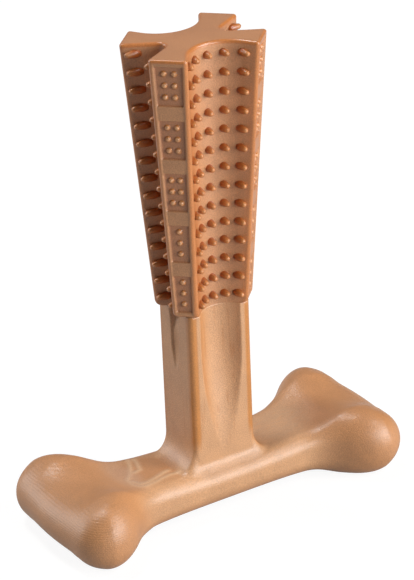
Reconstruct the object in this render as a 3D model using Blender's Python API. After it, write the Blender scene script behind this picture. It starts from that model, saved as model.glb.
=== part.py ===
"""Chew toothbrush for a dog: a bone-shaped base that lies under the paws, with a fluted stem
standing in its middle, and a brush head of four lobes moulded round a slim core on the stem.

Metres, +Z up. The origin is on the ground under the middle of the bone. X runs along the bone,
Y across it, with the front at -Y. The object is symmetric about the XZ and YZ planes.
"""

import math

import bmesh
import bpy

MM = 0.001
SHARP_EDGE_DEGREES = 35         # steeper edges are shaded sharp

# ---- whole object ----
TOTAL_HEIGHT = 147.7 * MM
MOULD_GAP = 0.3 * MM            # between the two mouldings wherever they face each other

# ---- bone: a bar that melts into a roller with ball ends on each side ----
ROLLER_PLACE = 49.1 * MM        # axis of a roller: distance from the middle
ROLLER_AXIS_HEIGHT = 9.4 * MM
ROLLER_RADIUS = 8.2 * MM        # also the radius of its ball ends
ROLLER_HALF_DEPTH = 24.25 * MM
ROLLER_SWELL = 0.95 * MM        # how much thicker along X a roller is at its middle
BAR_HALF_LENGTH = 42.3 * MM
BAR_HALF_DEPTH = 12.8 * MM
BAR_WIDENING = (10.0 * MM, 5.0)     # growth of the half depth up to the rollers, and its power
BAR_TOP = 14.2 * MM
BAR_RISE = (6.0 * MM, 2.7)
BAR_UNDERSIDE = 2.1 * MM
BAR_FALL = (1.2 * MM, 2.7)
BAR_EDGE_RADII = (4.8 * MM, 5.4 * MM)   # above and below
SADDLE_BLEND = 9.4 * MM             # width over which bar and roller melt together, above and below
WAIST_BLEND = 16.8 * MM             # and at their sides
BONE_STATIONS = 11              # sections between the middle and a roller's inner side
ROLLER_STATIONS = 9
ROLLER_END_TURN = 84.0          # degrees of its quarter turn that the outermost section reaches
BONE_SECTION_POINTS = 32
RAY_STRETCH = 1.6               # spreads a section's points towards the rollers' ball ends
HALVINGS = 30                   # finds a point of the skin to far below a micrometre

# ---- stem: a rectangular column with a flared foot ----
STEM_WIDTH = 21.2 * MM          # along X
STEM_DEPTH = 17.5 * MM          # along Y
STEM_CORNER_RADIUS = 1.5 * MM
STEM_FOOT_RADIUS_X = 4.0 * MM   # fillet between the stem and the bar, at the stem's sides
STEM_FOOT_RADIUS_Y = 2.2 * MM   # and at its front and back
STEM_FOOT_SINK = 0.15 * MM      # how far the fillet's edge dips under the bar's surface
STEM_ROOT_DEPTH = 6.0 * MM      # how far the stem's solid reaches into the bar
STEM_TOP = 65.1 * MM
STEM_CORNER_POINTS = 3
STEM_FOOT_STATIONS = 5

# ---- flutes of the stem, which carry on from the channels of the head ----
FLUTE_FADE_START = 53.7 * MM    # below this height a flute gets shallower
FLUTE_RUNOUT = 16.2 * MM
GROOVE_RUNOUT = 46.2 * MM       # a groove starts here, and is shallow up to the next height
GROOVE_DEEPENS = 59.7 * MM
GROOVE_SHALLOW_DEPTH = 1.1 * MM
FLUTE_STATIONS = 9
FLUTE_POINTS = 24
CUTTER_MARGIN = 3.0 * MM        # how far a cutter reaches past the surface that it cuts

# ---- core inside the head, and the holes that key the head to it ----
HEAD_WALL = 1.6 * MM            # least wall between the core and a channel
CORE_CORNER_RADIUS = 1.0 * MM
CORE_TOP_COVER = 8.0 * MM       # head material above the core
KEY_HOLE_RADIUS = 1.5 * MM
KEY_HOLE_COUNT = 3
KEY_HOLE_POINTS = 12
KEY_BRIDGE_BITE = 0.6 * MM      # how far a bridge is sunk into the walls that it joins

# ---- head: four lobes between two wide and two narrow channels ----
HEAD_TOP_RADIUS = 21.5 * MM
HEAD_BOTTOM_RADIUS = 15.05 * MM
LOBE_TOP_ANGLES = (20.4, 53.2)      # degrees from X of a lobe's two edges
LOBE_BOTTOM_ANGLES = (17.8, 50.2)
LOBE_EDGE_RADIUS = 1.0 * MM
HEAD_TOP_ROUND = 0.9 * MM
HEAD_BOTTOM_ROUND = 1.6 * MM
WIDE_TOP_RADIUS = 11.2 * MM     # round floor of a wide channel
WIDE_BOTTOM_RADIUS = 7.9 * MM
WIDE_TOP_FLOOR = 6.6 * MM       # distance of the floor from the head's axis
WIDE_BOTTOM_FLOOR = 4.63 * MM
NARROW_TOP_ROOT = 9.7 * MM      # distance of a narrow channel's root from the head's axis
NARROW_BOTTOM_ROOT = 6.0 * MM
NARROW_TOP_RADIUS = 2.5 * MM
NARROW_BOTTOM_RADIUS = 1.75 * MM
NARROW_ARC_POINTS = 3
WIDE_ARC_POINTS = 6
EDGE_ARC_POINTS = 2
ROUND_STATIONS = 3

# ---- framed panels sunk into the end face of each lobe ----
PANEL_COUNT = 5
PANEL_TOP_BORDER = 1.9 * MM
PANEL_BOTTOM_BORDER = 1.7 * MM
PANEL_SIDE_BORDER = 1.6 * MM
PANEL_BAR = 4.1 * MM            # bar between two panels
PANEL_DEPTH = 0.6 * MM

# ---- nubs ----
NUB_RADII = (1.25 * MM, 0.8 * MM)   # at the root and at the tip
NUB_LENGTH = 2.5 * MM           # in the wide channels
NARROW_NUB_LENGTH = 3.2 * MM
NUB_ROOT = 0.5 * MM             # part of a nub that is sunk into the wall
WIDE_NUB_ROWS = 14
NARROW_NUB_ROWS = 15
NUB_TOP_DROP = 3.0 * MM         # first row below the head's top
NUB_BOTTOM_RISE = 3.8 * MM      # last row above the head's bottom
WIDE_NUB_ANGLES = (-52.0, -26.0, 0.0, 26.0, 52.0)
NARROW_NUB_SHARE = 0.57         # place on a narrow channel's flank, from its root to its edge
NUB_SIDES = 5
PANEL_NUB_RADII = (1.15 * MM, 0.75 * MM)
PANEL_NUB_HEIGHT = 0.7 * MM
PANEL_NUB_SIDES = 4
PANEL_NUB_ROW_PITCH = 3.6 * MM
PANEL_NUB_ROWS = 3
PANEL_NUB_TOP_PITCH = 3.0 * MM  # between the two columns, in the uppermost panel
DOUBLE_COLUMN_PANELS = 3        # the lower panels are narrow and hold one column

# ---- sizes that follow from the ones above ----
HEAD_BOTTOM = STEM_TOP + MOULD_GAP
HEAD_HEIGHT = TOTAL_HEIGHT - HEAD_BOTTOM
CORE_HALF_X = NARROW_BOTTOM_ROOT - HEAD_WALL - MOULD_GAP
CORE_HALF_Y = WIDE_BOTTOM_FLOOR - HEAD_WALL - MOULD_GAP
CORE_TOP = TOTAL_HEIGHT - CORE_TOP_COVER
DIAGONAL = math.sqrt(0.5)       # share of a step along a diagonal that lies along each axis
QUADRANTS = ((1, 1), (-1, 1), (-1, -1), (1, -1))


def clear_scene():
    """Removes every object that the scene holds."""
    for item in list(bpy.data.objects):
        bpy.data.objects.remove(item)


def smooth_step(value):
    """Rises from 0 to 1 with level ends as value goes from 0 to 1."""
    value = min(max(value, 0.0), 1.0)
    return value * value * (3.0 - 2.0 * value)


def mix(first, second, share):
    """The value a share of the way from first to second."""
    return first + (second - first) * share


def plastic(name, colour, roughness):
    """A moulded plastic material."""
    material = bpy.data.materials.new(name)
    material.use_nodes = True
    shader = material.node_tree.nodes["Principled BSDF"]
    shader.inputs["Base Color"].default_value = (*colour, 1.0)
    shader.inputs["Roughness"].default_value = roughness
    shader.inputs["Metallic"].default_value = 0.0
    return material


def add_object(name, mesh_builder):
    """Makes an object from a filled bmesh, with its faces turned outwards."""
    bmesh.ops.recalc_face_normals(mesh_builder, faces=mesh_builder.faces)
    mesh = bpy.data.meshes.new(name)
    mesh_builder.to_mesh(mesh)
    mesh_builder.free()
    item = bpy.data.objects.new(name, mesh)
    bpy.context.scene.collection.objects.link(item)
    return item


def add_loft(mesh_builder, rings):
    """Joins rings of equally many points into one closed skin with a face over each end."""
    rows = [[mesh_builder.verts.new(point) for point in ring] for ring in rings]
    count = len(rows[0])
    for lower, upper in zip(rows, rows[1:]):
        for i in range(count):
            j = (i + 1) % count
            mesh_builder.faces.new((lower[i], lower[j], upper[j], upper[i]))
    mesh_builder.faces.new(rows[0][::-1])
    mesh_builder.faces.new(rows[-1])


def loft(name, rings):
    """One closed solid through a list of rings."""
    mesh_builder = bmesh.new()
    add_loft(mesh_builder, rings)
    return add_object(name, mesh_builder)


def combine(target, tool, operation):
    """Adds a Boolean of a guide solid to the target, and hides the guide."""
    modifier = target.modifiers.new(tool.name, "BOOLEAN")
    modifier.operation = operation
    modifier.object = tool
    modifier.solver = "EXACT"
    tool.hide_render = True
    tool.display_type = "WIRE"


# ---------------------------------------------------------------- bone base


def roller_distance(x, y, z):
    """Distance from a roller: a level capsule along Y, a little thicker at its middle."""
    straight = ROLLER_HALF_DEPTH - ROLLER_RADIUS
    middle = (1.0 - min(abs(y) / straight, 1.0) ** 2) ** 2
    squeeze = ROLLER_RADIUS / (ROLLER_RADIUS + ROLLER_SWELL * middle)
    from_axis = math.hypot((abs(x) - ROLLER_PLACE) * squeeze, z - ROLLER_AXIS_HEIGHT)
    return math.hypot(from_axis, max(abs(y) - straight, 0.0)) - ROLLER_RADIUS


def bar_distance(x, y, z):
    """Distance from the bar: a box with round edges that widens and thickens towards the rollers."""
    place = min(abs(x) / ROLLER_PLACE, 1.0)
    half_depth = BAR_HALF_DEPTH + BAR_WIDENING[0] * place ** BAR_WIDENING[1]
    top = BAR_TOP + BAR_RISE[0] * place ** BAR_RISE[1]
    bottom = BAR_UNDERSIDE - BAR_FALL[0] * place ** BAR_FALL[1]
    middle = (top + bottom) / 2
    radius = BAR_EDGE_RADII[0 if z > middle else 1]
    past = (
        abs(y) - (half_depth - radius),
        abs(z - middle) - ((top - bottom) / 2 - radius),
        abs(x) - (BAR_HALF_LENGTH - radius),
    )
    return min(max(past), 0.0) + math.hypot(*(max(value, 0.0) for value in past)) - radius


def bone_distance(x, y, z):
    """Distance from the bone: bar and roller melted together, with wide fillets where they meet."""
    roller = roller_distance(x, y, z)
    bar = bar_distance(x, y, z)
    blend = mix(SADDLE_BLEND, WAIST_BLEND, min(abs(y) / BAR_HALF_DEPTH, 1.0) ** 2)
    share = min(max(0.5 + 0.5 * (bar - roller) / blend, 0.0), 1.0)
    return mix(bar, roller, share) - blend * share * (1.0 - share)


def first_crossing(limit, field):
    """How far along a ray a field turns positive, between 0 and a limit, by halving the stretch."""
    near = 0.0
    far = limit
    for _ in range(HALVINGS):
        half = (near + far) / 2
        if field(half) < 0.0:
            near = half
        else:
            far = half
    return (near + far) / 2


def bone_point(x, angle):
    """Point of the bone's skin on a ray from the height of the rollers' axes, not below ground."""
    length = math.hypot(RAY_STRETCH * math.cos(angle), math.sin(angle))
    ray_y = RAY_STRETCH * math.cos(angle) / length
    ray_z = math.sin(angle) / length
    reach = first_crossing(
        2 * ROLLER_HALF_DEPTH,
        lambda step: bone_distance(x, step * ray_y, ROLLER_AXIS_HEIGHT + step * ray_z),
    )
    return (x, reach * ray_y, max(ROLLER_AXIS_HEIGHT + reach * ray_z, 0.0))


def bone_section(x):
    """Section of the bone at x: rays in all directions out to its skin."""
    return [bone_point(x, 2 * math.pi * i / BONE_SECTION_POINTS) for i in range(BONE_SECTION_POINTS)]


def bone_top(x, y):
    """Height of the bone's upper surface over a point between the rollers."""
    middle = (BAR_TOP + BAR_UNDERSIDE) / 2
    return middle + first_crossing(BAR_TOP, lambda step: bone_distance(x, y, middle + step))


def bone_stations():
    """Places along X of the bone's sections, closer together in the rounded ends."""
    tip = first_crossing(2 * ROLLER_PLACE, lambda x: bone_distance(x, 0.0, ROLLER_AXIS_HEIGHT))
    straight = ROLLER_PLACE - ROLLER_RADIUS
    half = [straight * i / BONE_STATIONS for i in range(BONE_STATIONS)]
    for i in range(ROLLER_STATIONS):
        turn = math.radians(ROLLER_END_TURN) * i / (ROLLER_STATIONS - 1)
        half.append(straight + (tip - straight) * math.sin(turn))
    return [-x for x in half[:0:-1]] + half


def rounded_rectangle(half_x, half_y, radius, z):
    """Ring of a rectangle with round corners at height z."""
    ring = []
    for quarter, (side_x, side_y) in enumerate(QUADRANTS):
        for i in range(STEM_CORNER_POINTS):
            angle = math.radians(90 * quarter + 90 * i / (STEM_CORNER_POINTS - 1))
            x = side_x * (half_x - radius) + radius * math.cos(angle)
            y = side_y * (half_y - radius) + radius * math.sin(angle)
            ring.append((x, y, z))
    return ring


def foot_ring(turn):
    """Ring of the fillet round the stem's foot: turn is 0 at its upper edge, a right angle below."""
    ring = []
    outline = rounded_rectangle(STEM_WIDTH / 2, STEM_DEPTH / 2, STEM_CORNER_RADIUS, 0.0)
    for i, (x, y, _) in enumerate(outline):
        quarter, step = divmod(i, STEM_CORNER_POINTS)
        angle = math.radians(90 * quarter + 90 * step / (STEM_CORNER_POINTS - 1))
        reach_x = STEM_FOOT_RADIUS_X * math.cos(angle)
        reach_y = STEM_FOOT_RADIUS_Y * math.sin(angle)
        x += reach_x * (1.0 - math.cos(turn))
        y += reach_y * (1.0 - math.cos(turn))
        rise = math.hypot(reach_x, reach_y) * (1.0 - math.sin(turn))
        ring.append((x, y, bone_top(x, y) + rise - STEM_FOOT_SINK))
    return ring


def stem_rings():
    """Sections of the stem from inside the bar to its shoulder, and of the core above it."""
    turns = [0.5 * math.pi * (1.0 - i / (STEM_FOOT_STATIONS - 1)) for i in range(STEM_FOOT_STATIONS)]
    foot = [foot_ring(turn) for turn in turns]
    root = [(x, y, BAR_TOP - STEM_ROOT_DEPTH) for x, y, _ in foot[0]]
    shoulder = rounded_rectangle(STEM_WIDTH / 2, STEM_DEPTH / 2, STEM_CORNER_RADIUS, STEM_TOP)
    core = [
        rounded_rectangle(CORE_HALF_X, CORE_HALF_Y, CORE_CORNER_RADIUS, z) for z in (STEM_TOP, CORE_TOP)
    ]
    return [root] + foot + [shoulder] + core


def flute_cutter_rings(side):
    """Sections of the cutter of one wide flute: circles whose floor moves out to the stem's face."""
    rings = []
    top = HEAD_BOTTOM + CUTTER_MARGIN
    for i in range(FLUTE_STATIONS):
        z = mix(FLUTE_RUNOUT, top, i / (FLUTE_STATIONS - 1))
        fade = smooth_step((FLUTE_FADE_START - z) / (FLUTE_FADE_START - FLUTE_RUNOUT))
        floor = mix(WIDE_BOTTOM_FLOOR, STEM_DEPTH / 2, fade)
        ring = []
        for k in range(FLUTE_POINTS):
            angle = 2 * math.pi * k / FLUTE_POINTS
            x = WIDE_BOTTOM_RADIUS * math.sin(angle)
            y = floor + WIDE_BOTTOM_RADIUS * (1.0 - math.cos(angle))
            ring.append((x, side * y, z))
        rings.append(ring)
    return rings


def groove_cutter_rings(side):
    """Sections of the cutter of one narrow groove, a wedge that fades out down the stem's side."""
    face = STEM_WIDTH / 2
    edge_angle = math.radians(LOBE_BOTTOM_ANGLES[0])
    edge_x = HEAD_BOTTOM_RADIUS * math.cos(edge_angle)
    edge_y = HEAD_BOTTOM_RADIUS * math.sin(edge_angle)
    rings = []
    full_depth = face - NARROW_BOTTOM_ROOT
    depths = (
        (GROOVE_RUNOUT, 0.0),
        (GROOVE_DEEPENS, GROOVE_SHALLOW_DEPTH),
        (STEM_TOP, full_depth),
        (STEM_TOP + CUTTER_MARGIN, full_depth),
    )
    for z, depth in depths:
        shift = full_depth - depth
        root = NARROW_BOTTOM_ROOT + shift
        outer = edge_x + shift
        flat = NARROW_BOTTOM_RADIUS / 2
        corners = ((root, flat), (root, -flat), (outer, -edge_y), (outer, edge_y))
        rings.append([(side * x, y, z) for x, y in corners])
    return rings


def key_hole_heights():
    """Heights of the holes through the core, evenly spread along it."""
    pitch = (CORE_TOP - HEAD_BOTTOM) / (KEY_HOLE_COUNT + 1)
    return [HEAD_BOTTOM + pitch * (i + 1) for i in range(KEY_HOLE_COUNT)]


def add_cross_rods(mesh_builder, radius, half_length):
    """Rods along Y through the head's axis, one at each key hole."""
    for z in key_hole_heights():
        rings = []
        for y in (-half_length, half_length):
            ring = []
            for k in range(KEY_HOLE_POINTS):
                angle = 2 * math.pi * k / KEY_HOLE_POINTS
                ring.append((radius * math.cos(angle), y, z + radius * math.sin(angle)))
            rings.append(ring)
        add_loft(mesh_builder, rings)


def cross_rods(name, radius, half_length):
    """The rods along Y as one guide solid."""
    mesh_builder = bmesh.new()
    add_cross_rods(mesh_builder, radius, half_length)
    return add_object(name, mesh_builder)


def build_bone_and_stem():
    """The first moulding: bone, fluted stem, and the slim core that the head is moulded on."""
    bone = loft("bone_stem_core", [bone_section(x) for x in bone_stations()])
    bone.data.materials.append(plastic("tan_nylon", (0.60, 0.36, 0.21), 0.42))
    combine(bone, loft("guide_stem", stem_rings()), "UNION")
    for side, name in ((-1, "front"), (1, "rear")):
        combine(bone, loft("cutter_flute_" + name, flute_cutter_rings(side)), "DIFFERENCE")
    for side, name in ((-1, "left"), (1, "right")):
        combine(bone, loft("cutter_groove_" + name, groove_cutter_rings(side)), "DIFFERENCE")
    reach = CORE_HALF_Y + CUTTER_MARGIN
    combine(bone, cross_rods("cutter_key_holes", KEY_HOLE_RADIUS, reach), "DIFFERENCE")
    return bone


# ---------------------------------------------------------------- brush head


def head_share(z):
    """0 at the bottom of the head, 1 at its top."""
    return (z - HEAD_BOTTOM) / HEAD_HEIGHT


def head_sizes(z):
    """The head's cross-section sizes at height z, on straight tapers from bottom to top."""
    share = head_share(z)
    return {
        "radius": mix(HEAD_BOTTOM_RADIUS, HEAD_TOP_RADIUS, share),
        "edges": [
            math.radians(mix(low, high, share))
            for low, high in zip(LOBE_BOTTOM_ANGLES, LOBE_TOP_ANGLES)
        ],
        "wide_radius": mix(WIDE_BOTTOM_RADIUS, WIDE_TOP_RADIUS, share),
        "wide_floor": mix(WIDE_BOTTOM_FLOOR, WIDE_TOP_FLOOR, share),
        "root": mix(NARROW_BOTTOM_ROOT, NARROW_TOP_ROOT, share),
        "root_radius": mix(NARROW_BOTTOM_RADIUS, NARROW_TOP_RADIUS, share),
    }


def polar(radius, angle, centre=(0.0, 0.0)):
    """Point at an angle on a circle."""
    return (centre[0] + radius * math.cos(angle), centre[1] + radius * math.sin(angle))


def tangent_angle(centre, radius, point, turn):
    """Angle on a circle of the touching point of the tangent that passes through a point."""
    dx = point[0] - centre[0]
    dy = point[1] - centre[1]
    distance = max(math.hypot(dx, dy), radius)
    return math.atan2(dy, dx) + turn * math.acos(radius / distance)


def lobe_corners(sizes):
    """The corners of a lobe in the first quadrant. Its flat end face is square to the diagonal."""
    low_angle, high_angle = sizes["edges"]
    low = polar(sizes["radius"], low_angle)
    high_radius = (low[0] + low[1]) / (math.cos(high_angle) + math.sin(high_angle))
    return low, polar(high_radius, high_angle)


def beside_corner(corner, across, outwards):
    """Point at a distance across a lobe's end face from a corner, and a distance out of the face."""
    return (corner[0] + (outwards - across) * DIAGONAL, corner[1] + (outwards + across) * DIAGONAL)


def narrow_flank(sizes):
    """The straight flank of a narrow channel in the first quadrant: its two end points."""
    centre = (sizes["root"] + sizes["root_radius"], 0.0)
    edge = lobe_corners(sizes)[0]
    angle = tangent_angle(centre, sizes["root_radius"], edge, 1)
    return centre, angle, polar(sizes["root_radius"], angle, centre), edge


def rounded_corner(before, corner, after, radius):
    """Points of an arc that rounds the corner of a path."""
    to_before = (before[0] - corner[0], before[1] - corner[1])
    to_after = (after[0] - corner[0], after[1] - corner[1])
    length_before = math.hypot(*to_before)
    length_after = math.hypot(*to_after)
    u = (to_before[0] / length_before, to_before[1] / length_before)
    v = (to_after[0] / length_after, to_after[1] / length_after)
    half = math.acos(max(-1.0, min(1.0, u[0] * v[0] + u[1] * v[1]))) / 2
    reach = radius / math.tan(half)
    points = []
    for i in range(EDGE_ARC_POINTS):
        share = i / (EDGE_ARC_POINTS - 1)
        first = (1 - share) ** 2 * reach
        last = share**2 * reach
        points.append((corner[0] + u[0] * first + v[0] * last, corner[1] + u[1] * first + v[1] * last))
    return points


def quarter_outline(sizes, radius_trim):
    """Outline in the first quadrant, from the narrow channel's root to the wide channel's floor."""
    sizes = dict(sizes, radius=sizes["radius"] - radius_trim)
    centre, flank_angle, flank_start, edge_low = narrow_flank(sizes)
    points = []
    for i in range(NARROW_ARC_POINTS):
        angle = mix(math.pi, flank_angle, i / (NARROW_ARC_POINTS - 1))
        points.append(polar(sizes["root_radius"], angle, centre))
    edge_high = lobe_corners(sizes)[1]
    wide_centre = (0.0, sizes["wide_floor"] + sizes["wide_radius"])
    wide_angle = tangent_angle(wide_centre, sizes["wide_radius"], edge_high, -1)
    wide_start = polar(sizes["wide_radius"], wide_angle, wide_centre)
    points += rounded_corner(flank_start, edge_low, edge_high, LOBE_EDGE_RADIUS)
    points += rounded_corner(edge_low, edge_high, wide_start, LOBE_EDGE_RADIUS)
    for i in range(WIDE_ARC_POINTS):
        angle = mix(wide_angle, -math.pi / 2, i / (WIDE_ARC_POINTS - 1))
        points.append(polar(sizes["wide_radius"], angle, wide_centre))
    return points


def head_outline(z, radius_trim=0.0):
    """Whole outline of the head at height z, without repeated points where quarters meet."""
    quarter = quarter_outline(head_sizes(z), radius_trim)
    second = [(-x, y) for x, y in reversed(quarter)]
    third = [(-x, -y) for x, y in quarter]
    fourth = [(x, -y) for x, y in reversed(quarter)]
    return quarter[:-1] + second[:-1] + third[:-1] + fourth[:-1]


def side_normal(start, end):
    """Unit normal of a side, to the left of its direction."""
    length = math.hypot(end[0] - start[0], end[1] - start[1])
    return ((start[1] - end[1]) / length, (end[0] - start[0]) / length)


def inset_outline(points, distance):
    """Moves every side of a closed outline inwards by a distance, with mitred corners."""
    moved = []
    for i, point in enumerate(points):
        first = side_normal(points[i - 1], point)
        second = side_normal(point, points[(i + 1) % len(points)])
        mitre = distance / (1.0 + first[0] * second[0] + first[1] * second[1])
        x = point[0] + (first[0] + second[0]) * mitre
        y = point[1] + (first[1] + second[1]) * mitre
        moved.append((x, y))
    return moved


def head_rings():
    """Sections of the head: lobe ends rounded at the bottom, the whole rim rounded at the top."""
    rings = []
    for i in range(ROUND_STATIONS):
        turn = 0.5 * math.pi * i / (ROUND_STATIONS - 1)
        z = HEAD_BOTTOM + HEAD_BOTTOM_ROUND * (1.0 - math.cos(turn))
        trim = HEAD_BOTTOM_ROUND * (1.0 - math.sin(turn))
        rings.append([(x, y, z) for x, y in head_outline(z, trim)])
    for i in range(ROUND_STATIONS):
        turn = 0.5 * math.pi * i / (ROUND_STATIONS - 1)
        z = TOTAL_HEIGHT - HEAD_TOP_ROUND * (1.0 - math.sin(turn))
        outline = inset_outline(head_outline(z), HEAD_TOP_ROUND * (1.0 - math.cos(turn)))
        rings.append([(x, y, z) for x, y in outline])
    return rings


def panel_spans():
    """Lower and upper height of each panel, from the top of the head down."""
    space = HEAD_HEIGHT - PANEL_TOP_BORDER - PANEL_BOTTOM_BORDER - PANEL_BAR * (PANEL_COUNT - 1)
    height = space / PANEL_COUNT
    tops = [TOTAL_HEIGHT - PANEL_TOP_BORDER - i * (height + PANEL_BAR) for i in range(PANEL_COUNT)]
    return [(top - height, top) for top in tops]


def panel_ring(z, side_x, side_y):
    """Section of a panel's cutter: a strip between the recess floor and the air outside."""
    low, high = lobe_corners(head_sizes(z))
    points = [
        beside_corner(low, PANEL_SIDE_BORDER, -PANEL_DEPTH),
        beside_corner(high, -PANEL_SIDE_BORDER, -PANEL_DEPTH),
        beside_corner(high, -PANEL_SIDE_BORDER, CUTTER_MARGIN),
        beside_corner(low, PANEL_SIDE_BORDER, CUTTER_MARGIN),
    ]
    return [(side_x * x, side_y * y, z) for x, y in points]


def panel_cutters():
    """All panel recesses of all lobes as one guide solid."""
    mesh_builder = bmesh.new()
    for side_x, side_y in QUADRANTS:
        for bottom, top in panel_spans():
            add_loft(mesh_builder, [panel_ring(z, side_x, side_y) for z in (bottom, top)])
    return add_object("cutter_panels", mesh_builder)


def add_nub(mesh_builder, base, direction, length, radii, sides):
    """A tapering peg that starts inside the wall that it stands on."""
    dx, dy = direction
    rings = []
    for along, size in zip((-NUB_ROOT, length), radii):
        ring = []
        for k in range(sides):
            angle = 2 * math.pi * k / sides
            across = size * math.cos(angle)
            x = base[0] + dx * along - dy * across
            y = base[1] + dy * along + dx * across
            ring.append((x, y, base[2] + size * math.sin(angle)))
        rings.append(ring)
    add_loft(mesh_builder, rings)


def nub_row_heights(rows):
    """Heights of the rows of nubs in the channels."""
    top = TOTAL_HEIGHT - NUB_TOP_DROP
    bottom = HEAD_BOTTOM + NUB_BOTTOM_RISE
    return [mix(top, bottom, i / (rows - 1)) for i in range(rows)]


def wide_channel_nubs(mesh_builder):
    """Nubs of the front and rear channels, which all point straight out along Y."""
    for z in nub_row_heights(WIDE_NUB_ROWS):
        sizes = head_sizes(z)
        centre_y = sizes["wide_floor"] + sizes["wide_radius"]
        for degrees in WIDE_NUB_ANGLES:
            x = sizes["wide_radius"] * math.sin(math.radians(degrees))
            y = centre_y - sizes["wide_radius"] * math.cos(math.radians(degrees))
            for side in (-1, 1):
                add_nub(mesh_builder, (x, side * y, z), (0, side), NUB_LENGTH, NUB_RADII, NUB_SIDES)


def narrow_channel_nubs(mesh_builder):
    """Nubs on both flanks of the left and right channels, which point straight out along X."""
    for z in nub_row_heights(NARROW_NUB_ROWS):
        _, _, start, edge = narrow_flank(head_sizes(z))
        x = mix(start[0], edge[0], NARROW_NUB_SHARE)
        y = mix(start[1], edge[1], NARROW_NUB_SHARE)
        for side_x, side_y in QUADRANTS:
            base = (side_x * x, side_y * y, z)
            add_nub(mesh_builder, base, (side_x, 0), NARROW_NUB_LENGTH, NUB_RADII, NUB_SIDES)


def panel_nubs(mesh_builder):
    """Small nubs on the panel floors: two columns in the upper panels, one in the lower ones."""
    for index, (bottom, top) in enumerate(panel_spans()):
        for row in range(PANEL_NUB_ROWS):
            z = (bottom + top) / 2 + PANEL_NUB_ROW_PITCH * (row - (PANEL_NUB_ROWS - 1) / 2)
            sizes = head_sizes(z)
            low, high = lobe_corners(sizes)
            middle = math.dist(low, high) / 2
            pitch = PANEL_NUB_TOP_PITCH * sizes["radius"] / HEAD_TOP_RADIUS
            offsets = (-pitch / 2, pitch / 2) if index < DOUBLE_COLUMN_PANELS else (0.0,)
            for side_x, side_y in QUADRANTS:
                direction = (side_x * DIAGONAL, side_y * DIAGONAL)
                for offset in offsets:
                    x, y = beside_corner(low, middle + offset, -PANEL_DEPTH)
                    base = (side_x * x, side_y * y, z)
                    add_nub(
                        mesh_builder, base, direction, PANEL_NUB_HEIGHT, PANEL_NUB_RADII, PANEL_NUB_SIDES
                    )


def all_nubs():
    """Every nub as one guide solid."""
    mesh_builder = bmesh.new()
    wide_channel_nubs(mesh_builder)
    narrow_channel_nubs(mesh_builder)
    panel_nubs(mesh_builder)
    return add_object("guide_nubs", mesh_builder)


def core_pocket():
    """The hollow that the core fills, open at the bottom of the head."""
    half_x = CORE_HALF_X + MOULD_GAP
    half_y = CORE_HALF_Y + MOULD_GAP
    radius = CORE_CORNER_RADIUS + MOULD_GAP
    heights = (HEAD_BOTTOM - CUTTER_MARGIN, CORE_TOP + MOULD_GAP)
    return loft("cutter_core_pocket", [rounded_rectangle(half_x, half_y, radius, z) for z in heights])


def build_head():
    """The second moulding: the brush head, keyed to the core by bridges through its holes."""
    head = loft("brush_head", head_rings())
    head.data.materials.append(plastic("amber_tan_nylon", (0.54, 0.29, 0.15), 0.36))
    combine(head, panel_cutters(), "DIFFERENCE")
    combine(head, all_nubs(), "UNION")
    combine(head, core_pocket(), "DIFFERENCE")
    reach = CORE_HALF_Y + MOULD_GAP + KEY_BRIDGE_BITE
    combine(head, cross_rods("guide_key_bridges", KEY_HOLE_RADIUS - MOULD_GAP, reach), "UNION")
    return head


def main():
    """Builds both mouldings in place."""
    clear_scene()
    for item in (build_bone_and_stem(), build_head()):
        item.data.shade_smooth()
        item.data.set_sharp_from_angle(angle=math.radians(SHARP_EDGE_DEGREES))


main()
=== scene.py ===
"""Looks of the chew toothbrush: nylon bone with its fluted stem, and the nubbed brush head.

Lengths are millimetres until a mesh is made, then metres. +Z up, X along the bone, front at -Y.
Every skin is worked out on a grid of two parameters, as whole arrays.
"""

import math

import bpy
import numpy as np
from mathutils import Matrix, Vector


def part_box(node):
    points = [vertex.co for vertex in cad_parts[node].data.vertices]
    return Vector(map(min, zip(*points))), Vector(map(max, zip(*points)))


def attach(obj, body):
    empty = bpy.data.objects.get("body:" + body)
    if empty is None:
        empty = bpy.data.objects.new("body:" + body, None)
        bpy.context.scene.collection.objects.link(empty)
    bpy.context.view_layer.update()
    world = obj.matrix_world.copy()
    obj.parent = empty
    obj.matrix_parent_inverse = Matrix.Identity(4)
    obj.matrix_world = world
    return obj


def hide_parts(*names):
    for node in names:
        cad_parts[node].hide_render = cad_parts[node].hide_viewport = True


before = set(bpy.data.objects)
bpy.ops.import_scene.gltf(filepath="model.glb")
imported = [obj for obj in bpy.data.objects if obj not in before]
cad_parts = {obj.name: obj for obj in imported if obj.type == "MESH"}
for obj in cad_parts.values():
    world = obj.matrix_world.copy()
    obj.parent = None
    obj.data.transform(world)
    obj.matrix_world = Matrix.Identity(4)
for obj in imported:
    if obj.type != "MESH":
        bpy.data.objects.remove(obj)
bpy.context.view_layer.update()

MM = 0.001

# ---------------------------------------------------------------- sizes; the head's heights are taken from its solid

HEAD_BOX = [np.array(corner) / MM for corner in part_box("brush_head")]
HEAD_BOTTOM = HEAD_BOX[0][2]
HEAD_TOP = HEAD_BOX[1][2]
HEAD_HEIGHT = HEAD_TOP - HEAD_BOTTOM

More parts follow.
